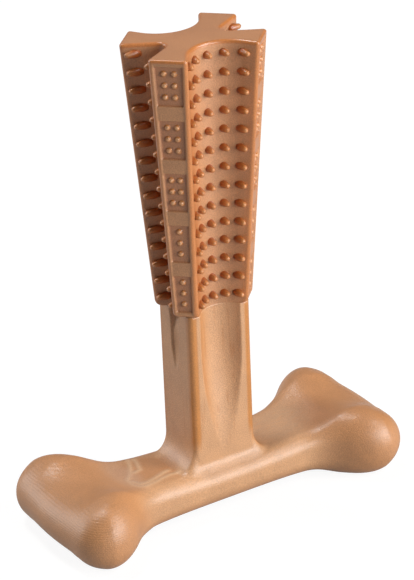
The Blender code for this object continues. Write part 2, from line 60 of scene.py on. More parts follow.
# ---- bone ----
ROLLER_PLACE = 49.1                 # axis of a roller: distance from the middle
ROLLER_AXIS_HEIGHT = 9.4
ROLLER_RADIUS = 8.2                 # also the radius of its ball ends
ROLLER_HALF_DEPTH = 24.25
ROLLER_SWELL = 0.95                 # how much thicker along X a roller is at its middle
BAR_HALF_LENGTH = 42.3
BAR_HALF_DEPTH = 12.8
BAR_WIDENING = (10.0, 5.0)          # growth of the half depth up to the rollers, and its power
BAR_TOP = 14.2
BAR_RISE = (6.0, 2.7)               # the same of its top
BAR_UNDERSIDE = 2.1
BAR_FALL = (1.2, 2.7)               # and of its underside
BAR_EDGE_RADII = (4.8, 5.4)         # above and below
SADDLE_BLEND = 9.4                  # width over which bar and roller melt together, above and below
WAIST_BLEND = 16.8                  # and at their sides
BONE_STATIONS = 290
BONE_END_STATIONS = 60
BONE_AROUND = 168
RAY_STRETCH = 1.6                   # spreads the rays towards the rollers' ball ends
HALVINGS = 34                       # finds a point of the skin to far below a micrometre

# ---- stem ----
STEM_HALF_X = 10.6
STEM_HALF_Y = 8.75
STEM_CORNER = 1.5
STEM_ROOT_DEPTH = 6.0               # how far the stem's skin reaches into the bar
# ridge lines of the swirl beside the stem's left foot, as x and y; they lie on the bone's upper side
FLOW_LINES = (
    ((-23.7, 8.9), (-25.7, 4.4), (-28.2, 0.4), (-31.1, -2.9), (-31.2, -6.2), (-29.9, -7.9), (-27.6, -8.1),
     (-24.7, -7.4), (-21.4, -6.2), (-17.7, -5.3), (-15.2, -5.7)),
    ((-30.0, -4.2), (-28.9, -6.4), (-26.1, -6.3), (-22.9, -5.1), (-19.1, -3.5), (-16.9, -2.9)),
    ((-21.9, 9.0), (-22.5, 5.7), (-24.0, 1.6), (-26.7, 0.7)),
)
FLOW_HALF_WIDTH = 0.8
FLOW_HEIGHTS = (ROLLER_AXIS_HEIGHT, HEAD_BOTTOM / 2)
FOOT_REACH = (5.5, 2.4)             # of the fillet round the foot, along X and along Y
FOOT_RISE = (8.0, 2.6)              # and its height there
FOOT_OVERSHOOT = 1.04               # the skin carries on past the fillet, and dips under the bone
FOOT_TUCK = 0.25                    # how far it dips there
FOOT_SINK = 0.03                    # and how far the whole fillet lies below its true place
FLUTE_RADIUS = 7.9
FLUTE_FADE = (53.7, 16.2)           # heights where the flute starts to fade, and where it has gone
GROOVE_HEIGHTS = (45.3, 47.2, 51.7, 59.7, 62.7, 65.4)
GROOVE_DEPTHS = (0.0, 0.3, 0.75, 1.1, 2.3, 4.6)
GROOVE_OUTER = (0.4, 1.1, 2.1, 2.35, 2.6, 2.93)     # half width at the stem's side
GROOVE_INNER = (0.1, 0.4, 1.3, 1.45, 1.2, 0.88)     # half width of the floor
GROOVE_LEAST_WALL = 0.1
CREASE_SOFTNESS = 0.5               # of a flute's edges, as a share of its depth
CREASE_DEPTHS = (0.02, 1.0)         # the least and the greatest depth that it is a share of
EDGE_POLISH = (0.1, 1.3)            # an edge is polished up to here, and fades into the grain over this
STEM_SIDE_POINTS = 62
STEM_FRONT_POINTS = 84
STEM_CORNER_POINTS = 9
STEM_ROWS = 96
FOOT_ROWS = 15

# ---- head ----
HEAD_RADIUS = (15.05, 21.5)         # at the bottom and at the top
LOBE_LOW_ANGLE = (17.8, 20.4)       # degrees from X to the two corners of a lobe
LOBE_HIGH_ANGLE = (50.2, 53.2)
WIDE_RADIUS = (7.9, 11.2)           # of the front and rear channels
WIDE_FLOOR = (4.63, 6.6)            # their deepest line's distance from the middle
FLUTE_DEPTH = STEM_HALF_Y - WIDE_FLOOR[0]   # at the shoulder, where it goes over into a channel
NARROW_ROOT = (6.0, 9.7)            # the same of the left and right channels
NARROW_RADIUS = (1.75, 2.5)         # of their rounded roots
LOBE_EDGE_RADIUS = 1.0
TOP_ROUND = 0.85
BOTTOM_ROUND = (1.5, 1.9)           # of a lobe's end: reach inwards, and height
PANEL_COUNT = 5                     # sunk panels down each lobe's end face
PANEL_TOP_BORDER = 1.9
PANEL_BOTTOM_BORDER = 1.7
PANEL_SIDE_BORDER = 1.6
PANEL_BAR = 4.1                     # between two of them
PANEL_DEPTH = 0.8
DIAGONAL = math.sqrt(0.5)           # share of a step along a diagonal that lies along each axis
PANEL_WALL = 0.4                    # width of the slope down to a panel
PANEL_CORNER = 0.5
RIB_WIDTH = 1.3                     # of the ribs along both edges of an end face
RIB_SLOPE = 0.5
RIB_HEIGHT = 0.22
RIB_ENDS = (0.9, 1.1, 0.6)          # distance from the bottom and the top, and width of the run-out
RIM_POLISH = 0.6                    # height of the polished band under the head's top
MITRE_LIMIT = 0.3                   # keeps a sharp corner from moving too far as the rim is drawn in
ROOT_POINTS = 13
FLANK_POINTS = 15
CORNER_POINTS = 8
WIDE_POINTS = 36
FACE_POINTS = (9, 8, 7)             # from an end face's middle: on the panel, on its wall, on the rib
FACE_MARGIN = 0.1                   # past the wall on both sides, for the points on it
ROUND_ROWS = 9
PLAIN_ROWS = 64
WALL_ROWS = 9
ROW_MARGINS = (0.15, 0.5)           # past a wall: up to where its own rows go, and the plain ones

# ---- nubs ----
WIDE_NUB_ROWS = 14
WIDE_NUB_SPAN = (144.1, 68.7)       # heights of the highest and the lowest row
WIDE_NUB_ANGLES = (-53.0, -26.0, 0.0, 27.0, 57.0)   # round a channel, from its deepest line
WIDE_NUB_SIZE = ((1.25, 0.85), 2.5, 1.3)    # radii at root and tip, length, and depth in the wall
NARROW_NUB_ROWS = 15
NARROW_NUB_SPAN = (144.7, 68.6)
NARROW_NUB_SHARE = (0.525, 0.615)   # bottom and top, from a channel's root to its edge
NARROW_NUB_SIZE = ((1.3, 0.85), 3.1, 1.8)
PANEL_NUB_ROWS = 3
PANEL_NUB_PITCH = 3.6
PANEL_NUB_SPREAD = 3.0              # between two columns, at the head's top
PANEL_NUB_LIFT = 0.3                # how far the middle row lies above a panel's middle
PANEL_DOUBLE_COLUMNS = 3            # the highest panels, which have two columns of nubs
PANEL_NUB_SIZE = ((1.15, 1.0), 0.8, 0.5)
NUB_TIP_FROST_AND_HIGHLIGHT = (0.35, 0.5)         # share of the length where the frosted tip starts, and its run; its lighter colour is partly frost, partly a painted highlight
NUB_TIP_RINGS = 4                   # with the tip's own point
FRONT_AND_REAR = ((1, -1), (1, 1))  # signs of x and y
QUARTERS = ((-1, -1), (-1, 1), (1, -1), (1, 1))
CHANNEL_NUB_SIDES = 12
PANEL_NUB_SIDES = 10

# ---- grain: how the mould was finished; the coarse level's darker colour is painted shade in the sunk panels ----
POLISHED = 0.0
BLASTED = 1.0
COARSE_SHADED = 2.0


# ---------------------------------------------------------------- small helpers


def smooth_step(value):
    """Rises from 0 to 1 with level ends as value goes from 0 to 1."""
    value = np.clip(value, 0.0, 1.0)
    return value * value * (3.0 - 2.0 * value)


def mix(first, second, share):
    """The value a share of the way from first to second."""
    return first + (second - first) * share


def soft_min(first, second, softness):
    """The smaller of two values, with the crease between them rounded over a width of softness."""
    share = np.clip(0.5 + 0.5 * (second - first) / softness, 0.0, 1.0)
    return mix(second, first, share) - softness * share * (1.0 - share)


def curve_through(places, knots, values):
    """Smooth curve through given values: a cubic between each two knots, whose slope at a knot is
    the weighted mean of the slopes on both sides."""
    knots = np.asarray(knots, float)
    values = np.asarray(values, float)
    slopes = np.gradient(values, knots)
    i = np.clip(np.searchsorted(knots, places) - 1, 0, len(knots) - 2)
    width = knots[i + 1] - knots[i]
    t = np.clip((places - knots[i]) / width, 0.0, 1.0)
    near = (1 + 2 * t) * (1 - t) ** 2 * values[i] + t**2 * (3 - 2 * t) * values[i + 1]
    return near + width * (t * (1 - t) ** 2 * slopes[i] - t**2 * (1 - t) * slopes[i + 1])


def grid_quads(rows, columns):
    """Quads of a grid whose columns close round."""
    index = np.arange(rows * columns).reshape(rows, columns)
    following = np.roll(index, -1, axis=1)
    return np.stack([index[:-1], following[:-1], following[1:], index[1:]], axis=-1).reshape(-1, 4)


def closed_grid(points, grain):
    """A skin from a grid of points whose columns close round: its points, its faces, with one
    over each end, and its grain at each point."""
    rows, columns = points.shape[:2]
    faces = grid_quads(rows, columns).tolist()
    faces.append(list(range(columns))[::-1])
    faces.append(list(range((rows - 1) * columns, rows * columns)))
    return points.reshape(-1, 3), faces, np.broadcast_to(grain, (rows, columns)).ravel()


def join_skins(skins):
    """Several skins as one."""
    points, face_lists, grains = zip(*skins)
    faces = []
    total = 0
    for some_points, some_faces in zip(points, face_lists):
        faces += [[corner + total for corner in face] for face in some_faces]
        total += len(some_points)
    return np.concatenate(points), faces, np.concatenate(grains)


def flow_ridges(points):
    """Height of the ridges that the melt left on the bone: exp(-(d / w)^2), where d is a point's
    distance from the nearest of the ridge lines, seen from above, and w is half a ridge's width."""
    nearest = np.full(len(points), np.inf)
    for line in FLOW_LINES:
        for start, end in zip(line[:-1], line[1:]):
            side = np.subtract(end, start)
            from_start = points[:, :2] - start
            share = np.clip(from_start @ side / (side @ side), 0.0, 1.0)
            nearest = np.minimum(nearest, np.hypot(*(from_start - share[:, None] * side).T))
    height = np.exp(-((nearest / FLOW_HALF_WIDTH) ** 2))
    is_beside_foot = (points[:, 2] > FLOW_HEIGHTS[0]) & (points[:, 2] < FLOW_HEIGHTS[1])
    return np.where(is_beside_foot, height, 0.0)


def make_piece(name, skin, material, replaced=None):
    """One mesh object at the origin from a skin in millimetres, shaded smooth. Its grain becomes an
    attribute of the faces' corners, so that a flat end, which has more than four of them, is blasted
    right up to its polished rim. The height of the melt's ridges becomes an attribute of its points."""
    points, faces, grain = skin
    mesh = bpy.data.meshes.new(name)
    mesh.from_pydata((points * MM).tolist(), [], faces)
    mesh.update()
    mesh.shade_smooth()
    corner_points = np.empty(len(mesh.loops), dtype=np.int32)
    mesh.loops.foreach_get("vertex_index", corner_points)
    sides = np.empty(len(mesh.polygons), dtype=np.int32)
    mesh.polygons.foreach_get("loop_total", sides)
    corner_grain = np.where(np.repeat(sides, sides) > 4, BLASTED, grain[corner_points])
    flow = flow_ridges(points)
    for attribute, domain, values in (("grain", "CORNER", corner_grain), ("flow", "POINT", flow)):
        data = mesh.attributes.new(attribute, "FLOAT", domain).data
        data.foreach_set("value", values.astype(np.float32))
    mesh.materials.append(material)
    piece = bpy.data.objects.new(name, mesh)
    bpy.context.scene.collection.objects.link(piece)
    if replaced:
        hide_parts(replaced)
    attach(piece, "root")


# ---------------------------------------------------------------- bone and stem


def roller_distance(x, y, z):
    """Distance from a roller: a level capsule along Y, a little thicker at its middle."""
    straight = ROLLER_HALF_DEPTH - ROLLER_RADIUS
    middle = (1.0 - np.clip(np.abs(y) / straight, 0.0, 1.0) ** 2) ** 2
    squeeze = ROLLER_RADIUS / (ROLLER_RADIUS + ROLLER_SWELL * middle)
    from_axis = np.hypot((np.abs(x) - ROLLER_PLACE) * squeeze, z - ROLLER_AXIS_HEIGHT)
    return np.hypot(from_axis, np.maximum(np.abs(y) - straight, 0.0)) - ROLLER_RADIUS


def bar_distance(x, y, z):
    """Distance from the bar: a box with round edges that widens and thickens towards the rollers."""
    place = np.clip(np.abs(x) / ROLLER_PLACE, 0.0, 1.0)
    half_depth = BAR_HALF_DEPTH + BAR_WIDENING[0] * place ** BAR_WIDENING[1]
    top = BAR_TOP + BAR_RISE[0] * place ** BAR_RISE[1]
    bottom = BAR_UNDERSIDE - BAR_FALL[0] * place ** BAR_FALL[1]
    middle = (top + bottom) / 2
    radius = np.where(z > middle, *BAR_EDGE_RADII)
    past = np.stack([
        np.abs(y) - (half_depth - radius),
        np.abs(z - middle) - ((top - bottom) / 2 - radius),
        np.abs(x) - (BAR_HALF_LENGTH - radius),
    ])
    outside = np.sqrt((np.maximum(past, 0.0) ** 2).sum(axis=0))
    return np.minimum(past.max(axis=0), 0.0) + outside - radius


def bone_distance(x, y, z):
    """Distance from the bone: bar and roller melted together, with wide fillets where they meet."""
    roller = roller_distance(x, y, z)
    bar = bar_distance(x, y, z)
    across = np.clip(np.abs(y) / BAR_HALF_DEPTH, 0.0, 1.0) ** 2
    return soft_min(roller, bar, mix(SADDLE_BLEND, WAIST_BLEND, across))


def first_crossing(limit, field):
    """How far along rays a field turns positive, between 0 and a limit, by halving the stretch."""
    near = np.zeros_like(limit)
    far = limit
    for _ in range(HALVINGS):
        half = (near + far) / 2
        is_inside = field(half) < 0.0
        near = np.where(is_inside, half, near)
        far = np.where(is_inside, far, half)
    return (near + far) / 2


def bone_top(x, y):
    """Height of the bone's upper side over a point."""
    middle = (BAR_TOP + BAR_UNDERSIDE) / 2
    reach = np.full(np.broadcast(x, y).shape, ROLLER_RADIUS + BAR_TOP)
    return middle + first_crossing(reach, lambda step: bone_distance(x, y, middle + step))


def bone_skin():
    """Closed skin of the bone. Along: stations, closer in the rounded ends. Round: rays from the
    roller's axis height, each followed out to where the bone's distance is 0; planed off on the ground."""
    zero = np.zeros((1, 1))
    limit = zero + 2 * ROLLER_PLACE
    tip = first_crossing(limit, lambda step: bone_distance(step, zero, ROLLER_AXIS_HEIGHT))[0, 0]
    straight = ROLLER_PLACE - ROLLER_RADIUS
    middle_part = np.linspace(0.0, straight, BONE_STATIONS // 2 - BONE_END_STATIONS, endpoint=False)
    quarter = np.linspace(0.0, 0.5 * math.pi, BONE_END_STATIONS, endpoint=False)
    half = np.concatenate([middle_part, straight + (tip - straight) * np.sin(quarter)])
    x = np.concatenate([-half[:0:-1], half])[:, None]
    angle = (2 * math.pi * np.arange(BONE_AROUND) / BONE_AROUND)[None, :]
    length = np.hypot(RAY_STRETCH * np.cos(angle), np.sin(angle))
    ray_y = RAY_STRETCH * np.cos(angle) / length
    ray_z = np.sin(angle) / length
    limit = np.full((len(x), BONE_AROUND), 2 * ROLLER_HALF_DEPTH)
    reach = first_crossing(
        limit, lambda step: bone_distance(x, step * ray_y, ROLLER_AXIS_HEIGHT + step * ray_z)
    )
    z = np.maximum(ROLLER_AXIS_HEIGHT + reach * ray_z, 0.0)
    return closed_grid(np.stack(np.broadcast_arrays(x, reach * ray_y, z), axis=-1), BLASTED)


def stem_outline():
    """Rectangle with round corners, anticlockwise from its side at +X: its points, their outward
    directions, and each point's distance from the nearest corner arc."""
    half = (STEM_HALF_X, STEM_HALF_Y)
    counts = (STEM_SIDE_POINTS, STEM_FRONT_POINTS)
    turn = np.linspace(0.0, 0.5 * math.pi, STEM_CORNER_POINTS + 2)[1:-1, None]
    points, normals, from_corner = [], [], []
    for k in range(4):
        out = np.array([math.cos(0.5 * math.pi * k), math.sin(0.5 * math.pi * k)])
        along = np.array([-out[1], out[0]])
        across = half[1 - k % 2] - STEM_CORNER
        side = np.linspace(-across, across, counts[k % 2])
        arc = np.cos(turn) * out + np.sin(turn) * along
        corner = (half[k % 2] - STEM_CORNER) * out + across * along
        points += [side[:, None] * along + half[k % 2] * out, corner + STEM_CORNER * arc]
        normals += [np.broadcast_to(out, (len(side), 2)), arc]
        from_corner += [across - np.abs(side), np.zeros(len(arc))]
    return np.concatenate(points), np.concatenate(normals), np.concatenate(from_corner)


def flute_depth(x, z):
    """Depth of a wide flute below the stem's face: a circle whose floor moves out to the face."""
    fade = smooth_step((FLUTE_FADE[0] - z) / (FLUTE_FADE[0] - FLUTE_FADE[1]))
    depth = FLUTE_DEPTH * (1.0 - fade)
    sag = FLUTE_RADIUS - np.sqrt(np.maximum(FLUTE_RADIUS**2 - x**2, 0.0))
    cut = depth - np.where(np.abs(x) < FLUTE_RADIUS, sag, 2 * FLUTE_RADIUS)
    softness = CREASE_SOFTNESS * np.clip(depth, *CREASE_DEPTHS)
    return -soft_min(0.0, -cut, softness)


def groove_depth(y, z):
    """Depth of a narrow groove below the stem's side: steep walls down to a flat floor."""
    depth = curve_through(z, GROOVE_HEIGHTS, GROOVE_DEPTHS)
    outer = curve_through(z, GROOVE_HEIGHTS, GROOVE_OUTER)
    inner = curve_through(z, GROOVE_HEIGHTS, GROOVE_INNER)
    wall = (outer - np.abs(y)) / np.maximum(outer - inner, GROOVE_LEAST_WALL)
    return np.where(z > GROOVE_HEIGHTS[0], depth * smooth_step(wall), 0.0)


def stem_skin():
    """Closed skin of the stem. Round: the rounded rectangle, pressed in by the flutes and grooves.
    Up: first a quarter turn that leaves the bone's surface, then straight up to the shoulder."""
    outline, normal, from_corner = stem_outline()
    step = normal * FOOT_REACH
    rise = np.linalg.norm(normal * FOOT_RISE, axis=-1)
    turn = np.linspace(0.5 * math.pi, 0.0, FOOT_ROWS)[:, None]
    foot_xy = outline + step * (1.0 - np.cos(turn))[..., None]
    foot_z = bone_top(foot_xy[..., 0], foot_xy[..., 1]) + rise * (1.0 - np.sin(turn)) - FOOT_SINK
    foot = np.concatenate([foot_xy, foot_z[..., None]], axis=-1)
    rim = outline + step * FOOT_OVERSHOOT
    under = np.column_stack([rim, bone_top(rim[:, 0], rim[:, 1]) - FOOT_TUCK])[None]
    sunk = np.column_stack([outline, np.full(len(outline), BAR_TOP - STEM_ROOT_DEPTH)])[None]
    shaft_z = mix(foot_z[-1:], HEAD_BOTTOM, np.linspace(0.0, 1.0, STEM_ROWS + 1)[1:, None])
    shaft = np.concatenate([np.broadcast_to(outline, shaft_z.shape + (2,)), shaft_z[..., None]], axis=-1)
    points = np.concatenate([sunk, under, foot, shaft])
    x, y, z = points[..., 0], points[..., 1], points[..., 2]
    faces_y = np.abs(normal[:, 1]) > np.abs(normal[:, 0])
    depth = np.where(faces_y, flute_depth(x, z), groove_depth(y, z))
    points[..., :2] -= normal * depth[..., None]
    grain = smooth_step((from_corner - EDGE_POLISH[0]) / EDGE_POLISH[1])
    above_foot = smooth_step((z - BAR_TOP - FOOT_RISE[0] / 2) / FOOT_RISE[0])
    return closed_grid(points, mix(BLASTED, grain, above_foot))


# ---------------------------------------------------------------- brush head


def head_sizes(z):
    """The head's section sizes at height z, on straight tapers from bottom to top."""
    tapers = {
        "radius": HEAD_RADIUS,
        "low": LOBE_LOW_ANGLE,
        "high": LOBE_HIGH_ANGLE,
        "wide": WIDE_RADIUS,
        "floor": WIDE_FLOOR,
        "root": NARROW_ROOT,
        "root_radius": NARROW_RADIUS,
    }
    share = (z - HEAD_BOTTOM) / HEAD_HEIGHT
    sizes = {name: mix(*ends, share) for name, ends in tapers.items()}
    for name in ("low", "high"):
        sizes[name] = np.radians(sizes[name])
    return sizes


def on_circle(radius, angle, centre_x=0.0, centre_y=0.0):
    """Points of a circle, as an array whose last axis is x and y."""
    x = centre_x + radius * np.cos(angle)
    y = centre_y + radius * np.sin(angle)
    return np.stack(np.broadcast_arrays(x, y), axis=-1)


def touch_angle(centre_x, centre_y, radius, point, turn):
    """Angle on a circle where the tangent from a point touches it."""
    dx = point[..., 0] - centre_x
    dy = point[..., 1] - centre_y
    distance = np.maximum(np.hypot(dx, dy), radius)
    return np.arctan2(dy, dx) + turn * np.arccos(radius / distance)


def round_corner(before, corner, after, share):
    """Arc that rounds a corner and touches both of its sides: its centre lies on the corner's
    bisector, and the radius turns evenly from one side's normal to the other's."""
    u = before - corner
    v = after - corner
    u = u / np.linalg.norm(u, axis=-1, keepdims=True)
    v = v / np.linalg.norm(v, axis=-1, keepdims=True)
    half = np.arccos(np.clip((u * v).sum(-1, keepdims=True), -1.0, 1.0)) / 2
    reach = LOBE_EDGE_RADIUS / np.tan(half)
    bisector = (u + v) / np.linalg.norm(u + v, axis=-1, keepdims=True)
    centre = corner + bisector * LOBE_EDGE_RADIUS / np.sin(half)
    turn = math.pi - 2 * half
    start = corner + u * reach - centre
    end = corner + v * reach - centre
    share = share[None, :, None]
    return centre + (np.sin((1 - share) * turn) * start + np.sin(share * turn) * end) / np.sin(turn)


def panel_spans():
    """Lower and upper height of each panel, from the top of the head down."""
    space = HEAD_HEIGHT - PANEL_TOP_BORDER - PANEL_BOTTOM_BORDER - PANEL_BAR * (PANEL_COUNT - 1)
    height = space / PANEL_COUNT
    tops = HEAD_TOP - PANEL_TOP_BORDER - np.arange(PANEL_COUNT) * (height + PANEL_BAR)
    return np.stack([tops - height, tops], axis=-1)


def end_face_depth(across, half_width, z):
    """How far a lobe's end face lies below its rim: the panels are rounded rectangles with sloping
    walls, and between the two edge ribs the bars lie a little lower."""
    edge = half_width - np.abs(across)
    run_out = smooth_step((z - HEAD_BOTTOM - RIB_ENDS[0]) / RIB_ENDS[2])
    run_out = run_out * smooth_step((HEAD_TOP - RIB_ENDS[1] - z) / RIB_ENDS[2])
    bars = RIB_HEIGHT * smooth_step((edge - RIB_WIDTH) / RIB_SLOPE) * run_out
    sunk = np.zeros(np.broadcast_shapes(across.shape, z.shape))
    for low, high in panel_spans():
        over_x = np.abs(across) - (half_width - PANEL_SIDE_BORDER - PANEL_CORNER)
        over_z = np.abs(z - (low + high) / 2) - ((high - low) / 2 - PANEL_CORNER)
        past_corner = np.hypot(np.maximum(over_x, 0.0), np.maximum(over_z, 0.0))
        outside = past_corner + np.minimum(np.maximum(over_x, over_z), 0.0)
        sunk = np.maximum(sunk, smooth_step((PANEL_CORNER - outside) / PANEL_WALL))
    return np.maximum(bars, sunk * PANEL_DEPTH)


def face_places(half_width):
    """Places across an end face, from its middle out on both sides, crowded at the panels' walls."""
    wall_top = half_width - PANEL_SIDE_BORDER
    wall_foot = wall_top - PANEL_WALL
    inner = np.linspace(0.0, wall_foot - FACE_MARGIN, FACE_POINTS[0])[:-1]
    slope = np.linspace(wall_foot - FACE_MARGIN, wall_top + FACE_MARGIN, FACE_POINTS[1])
    rib = np.linspace(wall_top + FACE_MARGIN, half_width, FACE_POINTS[2])[1:]
    half = np.concatenate([inner, slope, rib])
    return np.concatenate([-half[:0:-1], half])


def lobe_corners(radius, low, high):
    """The two corners of a lobe. Its flat end face is square to the quadrant's diagonal, so that
    both have the same x + y."""
    low_corner = on_circle(radius, low)
    high_radius = low_corner.sum(-1) / (np.cos(high) + np.sin(high))
    return low_corner, on_circle(high_radius, high)


def head_outline(z, trim):
    """Outline of the head at heights z, rows by points by x and y, and its grain. Each quarter runs
    from a narrow channel's root along its flank, round a lobe's end, and down into a wide channel.
    A trim is how far the lobes' ends are cut back at a height."""
    sizes = {name: value[:, None] for name, value in head_sizes(z).items()}
    radius = sizes["radius"] - trim[:, None]
    root_x = sizes["root"] + sizes["root_radius"]
    low_corner, high_corner = lobe_corners(radius, sizes["low"], sizes["high"])
    flank_angle = touch_angle(root_x, 0.0, sizes["root_radius"], low_corner, 1)
    root_angles = mix(math.pi, flank_angle, np.linspace(0, 1, ROOT_POINTS)[None])
    root = on_circle(sizes["root_radius"], root_angles, root_x, 0.0)
    wide_y = sizes["floor"] + sizes["wide"]
    wide_angle = touch_angle(0.0, wide_y, sizes["wide"], high_corner, -1)
    wide_angles = mix(wide_angle, -0.5 * math.pi, np.linspace(0, 1, WIDE_POINTS)[None])
    wide = on_circle(sizes["wide"], wide_angles, 0.0, wide_y)
    corner_share = np.linspace(0.0, 1.0, CORNER_POINTS)
    first = round_corner(root[:, -1:], low_corner, high_corner, corner_share)
    last = round_corner(low_corner, high_corner, wide[:, :1], corner_share)
    half_width = np.linalg.norm(high_corner - low_corner, axis=-1) / 2
    places = np.stack([face_places(value) for value in half_width[:, 0]])
    face = mix(first[:, -1:], last[:, :1], ((places / half_width + 1.0) / 2)[..., None])
    across = ((face - (low_corner + high_corner) / 2) * (-DIAGONAL, DIAGONAL)).sum(-1)
    depth = end_face_depth(across, half_width, z[:, None])
    face = face - depth[..., None] * DIAGONAL
    flank = mix(root[:, -1:], first[:, :1], np.linspace(0, 1, FLANK_POINTS)[None, 1:-1, None])
    quarter = np.concatenate([root, flank, first, face[:, 1:-1], last, wide], axis=1)
    from_low = np.linalg.norm(quarter - low_corner, axis=-1)
    from_high = np.linalg.norm(quarter - high_corner, axis=-1)
    from_edge = np.minimum(from_low, from_high) - LOBE_EDGE_RADIUS / 2
    grain = smooth_step((from_edge - EDGE_POLISH[0]) / EDGE_POLISH[1])
    sunk = np.clip((depth - RIB_HEIGHT) / (PANEL_DEPTH - RIB_HEIGHT), 0.0, 1.0)
    face_start = root.shape[1] + flank.shape[1] + first.shape[1]
    # the panels' floors go over into the coarse grain, whose darker colour is painted shade in the recess
    grain[:, face_start:face_start + face.shape[1] - 2] += sunk[:, 1:-1]
    back = quarter[:, ::-1]
    quarters = [quarter, back * (-1.0, 1.0), -quarter, back * (1.0, -1.0)]
    grains = [grain, grain[:, ::-1], grain, grain[:, ::-1]]
    return tuple(np.concatenate([part[:, :-1] for part in parts], axis=1) for parts in (quarters, grains))


def inset(outline, distance):
    """Closed outlines with each side moved inwards, by one distance per row, and mitred corners."""
    side = np.roll(outline, -1, axis=1) - outline
    length = np.maximum(np.linalg.norm(side, axis=-1, keepdims=True), 1e-9)
    normal = np.stack([-side[..., 1], side[..., 0]], axis=-1) / length
    before = np.roll(normal, 1, axis=1)
    opening = 1.0 + (normal * before).sum(-1, keepdims=True)
    mitre = distance[:, None, None] / np.maximum(opening, MITRE_LIMIT)
    return outline + (normal + before) * mitre


def head_rows():
    """Heights of the head's rows between its rims, crowded at the walls of the panels. They are
    rounded, so that two that coincide become one."""
    edges = panel_spans().ravel()
    near, clear = (PANEL_WALL + margin for margin in ROW_MARGINS)
    walls = (edges[:, None] + np.linspace(-near, near, WALL_ROWS)[None]).ravel()
    lowest = HEAD_BOTTOM + BOTTOM_ROUND[1]
    highest = HEAD_TOP - TOP_ROUND
    plain = np.linspace(lowest, highest, PLAIN_ROWS)
    plain = plain[np.abs(plain[:, None] - edges).min(axis=1) > clear]
    walls = walls[(walls > lowest) & (walls < highest)]
    return np.unique(np.concatenate([[lowest], plain, walls, [highest]]).round(4))


def head_skin():
    """Closed skin of the head: the outline at every height, the lobes' ends trimmed by an elliptic
    quarter turn at the bottom, and the whole rim drawn in by a round quarter turn at the top."""
    turn = np.linspace(0.0, 0.5 * math.pi, ROUND_ROWS)
    low = HEAD_BOTTOM + BOTTOM_ROUND[1] * (1.0 - np.cos(turn[:-1]))
    low_trim = BOTTOM_ROUND[0] * (1.0 - np.sin(turn[:-1]))
    body = head_rows()[:-1]
    high = HEAD_TOP - TOP_ROUND * (1.0 - np.sin(turn))
    z = np.concatenate([low, body, high])
    trim = np.concatenate([low_trim, np.zeros(len(body) + len(high))])
    outline, grain = head_outline(z, trim)
    outline[-len(high):] = inset(outline[-len(high):], TOP_ROUND * (1.0 - np.cos(turn)))
    heights = np.broadcast_to(z[:, None, None], outline.shape[:2] + (1,))
    rim_grain = smooth_step((HEAD_TOP - TOP_ROUND - z) / RIM_POLISH)[:, None]
    return closed_grid(np.concatenate([outline, heights], axis=-1), grain * rim_grain)


# ---------------------------------------------------------------- nubs


def nub_profile(radii, length, depth):
    """Profile of a nub: a straight taper that ends in a round tip. Distances along and radii."""
    root, tip = radii
    turn = np.linspace(0.0, 0.5 * math.pi, NUB_TIP_RINGS)[:-1]
    along = np.concatenate([[-depth, 0.0], length - tip + tip * np.sin(turn)])
    size = np.concatenate([[root, root], tip * np.cos(turn)])
    return along, size


def nub_field(places, size, sides):
    """All nubs of one kind as one skin: each is a profile turned round its direction, which lies
    level, and closed with a point at the tip and a face at the root."""
    bases, directions = places
    radii, length, depth = size
    along, widths = nub_profile(radii, length, depth)
    angle = 2 * math.pi * np.arange(sides) / sides
    sideways = np.stack([-directions[:, 1], directions[:, 0], np.zeros(len(directions))], axis=-1)
    ring = np.cos(angle)[None, :, None] * sideways[:, None] + np.sin(angle)[None, :, None] * (0.0, 0.0, 1.0)
    body = (
        bases[:, None, None, :]
        + directions[:, None, None, :] * along[None, :, None, None]
        + ring[:, None] * widths[None, :, None, None]
    )
    tips = bases + directions * length
    points = np.concatenate([body.reshape(len(bases), -1, 3), tips[:, None]], axis=1)
    quads = grid_quads(len(along), sides)
    last = (len(along) - 1) * sides + np.arange(sides)
    fan = np.stack([last, np.roll(last, -1), np.full(sides, points.shape[1] - 1)], axis=-1)
    faces = []
    for start in range(0, points.shape[0] * points.shape[1], points.shape[1]):
        faces += (quads + start).tolist() + (fan + start).tolist()
        faces.append(list(range(start, start + sides))[::-1])
    share = np.append(np.repeat(along, sides), length) / length
    # the lighter tips are partly frost and partly a painted highlight
    grain = smooth_step((share - NUB_TIP_FROST_AND_HIGHLIGHT[0]) / NUB_TIP_FROST_AND_HIGHLIGHT[1])
    return points.reshape(-1, 3), faces, np.tile(grain, len(bases))


def mirrored(points, direction, signs):
    """Roots and directions of nubs that stand in one part of the head, repeated with each pair of
    signs of x and y."""
    bases = [points * (sx, sy, 1) for sx, sy in signs]
    directions = [np.tile(np.multiply(direction, (sx, sy, 1)), (len(points), 1)) for sx, sy in signs]
    return np.concatenate(bases), np.concatenate(directions)


def wide_nubs():
    """Roots and directions of the nubs in the front and rear channels, which all point along Y."""
    z = np.linspace(*WIDE_NUB_SPAN, WIDE_NUB_ROWS)[:, None]
    sizes = head_sizes(z)
    angle = np.radians(np.array(WIDE_NUB_ANGLES))[None]
    x = sizes["wide"] * np.sin(angle)
    y = sizes["floor"] + sizes["wide"] * (1.0 - np.cos(angle))
    point = np.stack(np.broadcast_arrays(x, y, z), axis=-1).reshape(-1, 3)
    return mirrored(point, (0.0, 1.0, 0.0), FRONT_AND_REAR)


def narrow_nubs():
    """Roots and directions of the nubs on the flanks of the left and right channels, along X."""
    z = np.linspace(*NARROW_NUB_SPAN, NARROW_NUB_ROWS)
    sizes = head_sizes(z)
    edge = on_circle(sizes["radius"], sizes["low"])
    root_x = sizes["root"] + sizes["root_radius"]
    angle = touch_angle(root_x, 0.0, sizes["root_radius"], edge, 1)
    start = on_circle(sizes["root_radius"], angle, root_x, 0.0)
    share = mix(*NARROW_NUB_SHARE, (z - HEAD_BOTTOM) / HEAD_HEIGHT)
    point = np.column_stack([mix(start, edge, share[:, None]), z])
    return mirrored(point, (1.0, 0.0, 0.0), QUARTERS)


